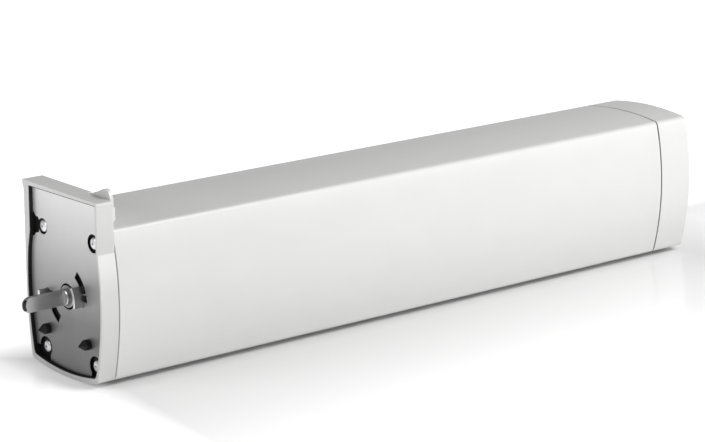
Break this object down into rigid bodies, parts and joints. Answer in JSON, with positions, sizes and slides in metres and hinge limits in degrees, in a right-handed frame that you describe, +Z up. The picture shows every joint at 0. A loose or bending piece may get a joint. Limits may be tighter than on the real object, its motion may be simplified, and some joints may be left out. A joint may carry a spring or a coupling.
{
  "type": "window crank operator",
  "caption": "Crank-driven window operator: a long barrel-section casing with worm gearing that swings two folded arms out through a slot in its back.",
  "frame": {"origin": "centre of the bounding box in plan, on its underside", "axes": "+X along the casing away from the crank, +Y from the room side towards the window, +Z up"},
  "size_m": [0.568, 0.0896, 0.1298],
  "materials": {
    "satin_silver": "satin silver-white powder coat",
    "plate_grey": "fine brushed zinc-plated sheet",
    "steel": "brushed steel",
    "bright_steel": "bright plated fasteners",
    "bronze": "sintered bronze",
    "zinc": "grey die casting",
    "black_plastic": "fine-grained black",
    "nylon": "natural nylon"
  },
  "bodies": {
    "housing": {"arm_slot_liner": "black_plastic", "case_screw_left_front": "bright_steel", "case_screw_left_rear": "bright_steel", "case_screw_right_front": "bright_steel", "case_screw_right_rear": "bright_steel", "casing": "satin_silver", "claw_bracket": "steel", "cover_screw_left_front": "bright_steel", "cover_screw_left_rear": "bright_steel", "cover_screw_right_front": "bright_steel", "cover_screw_right_rear": "bright_steel", "crank_end_frame": "satin_silver", "crank_end_plate": "plate_grey", "crank_end_screw_bottom_front": "bright_steel", "crank_end_screw_bottom_rear": "bright_steel", "crank_end_screw_top_front": "bright_steel", "crank_end_screw_top_rear": "bright_steel", "end_cup": "black_plastic", "far_end_cap": "satin_silver", "far_end_screw_bottom_front": "bright_steel", "far_end_screw_bottom_rear": "bright_steel", "far_end_screw_top_front": "bright_steel", "far_end_screw_top_rear": "bright_steel", "gear_case_left": "zinc", "gear_case_right": "zinc", "gear_cover_left": "zinc", "gear_cover_right": "zinc", "hanger_screw_front": "bright_steel", "hanger_screw_rear": "bright_steel", "input_bush": "bronze", "lever_pin": "bright_steel", "locating_stud_front": "black_plastic", "locating_stud_rear": "black_plastic", "shaft_hanger": "nylon", "spindle_bush_lower_left": "bronze", "spindle_bush_lower_right": "bronze", "spindle_bush_upper_left": "bronze", "spindle_bush_upper_right": "bronze", "worm_bush_left": "bronze", "worm_bush_right": "bronze"},
    "drive_line": {"crank_tang_shaft": "steel", "shaft_coupling": "steel", "drive_shaft": "steel", "worm_left": "steel", "worm_right": "steel"},
    "release_lever": {"release_lever": "satin_silver"},
    "arm_left": {"arm_wheel_left": "bronze", "arm_spindle_left": "steel", "swing_arm_left": "steel", "spindle_nut_left": "bright_steel", "roller_pin_left": "bright_steel"},
    "roller_left": {"arm_roller_left": "nylon"},
    "arm_right": {"arm_wheel_right": "bronze", "arm_spindle_right": "steel", "swing_arm_right": "steel", "spindle_nut_right": "bright_steel", "roller_pin_right": "bright_steel"},
    "roller_right": {"arm_roller_right": "nylon"}
  },
  "joints": [
    {"name": "arm_left_swing", "type": "hinge", "parent": "housing", "child": "arm_left", "pos_m": [-0.19205, 0.02025, 0.0759], "axis": [0, 0, 1], "range_deg": [0, 80]},
    {"name": "arm_right_swing", "type": "hinge", "parent": "housing", "child": "arm_right", "pos_m": [0.21295, 0.02025, 0.0759], "axis": [0, 0, -1], "range_deg": [0, 80]},
    {"name": "crank_turn", "type": "hinge", "parent": "housing", "child": "drive_line", "pos_m": [-0.25205, -0.00125, 0.0537], "axis": [-1, 0, 0], "range_deg": [0, 1440]},
    {"name": "roller_left_spin", "type": "hinge", "parent": "arm_left", "child": "roller_left", "pos_m": [-0.00205, 0.02025, 0.0699], "axis": [0, 0, 1], "continuous": true},
    {"name": "roller_right_spin", "type": "hinge", "parent": "arm_right", "child": "roller_right", "pos_m": [0.02295, 0.02025, 0.0699], "axis": [0, 0, 1], "continuous": true},
    {"name": "release_lever_lift", "type": "hinge", "parent": "housing", "child": "release_lever", "pos_m": [-0.23825, -0.02585, 0.1144], "axis": [-1, 0, 0], "range_deg": [0, 20], "stiffness_Nm_per_rad": 0.02, "springref_deg": -8.59}
  ],
  "couplings": [
    {"joint": "arm_right_swing", "follows": "arm_left_swing", "ratio": 1},
    {"joint": "crank_turn", "follows": "arm_left_swing", "ratio": 18}
  ]
}
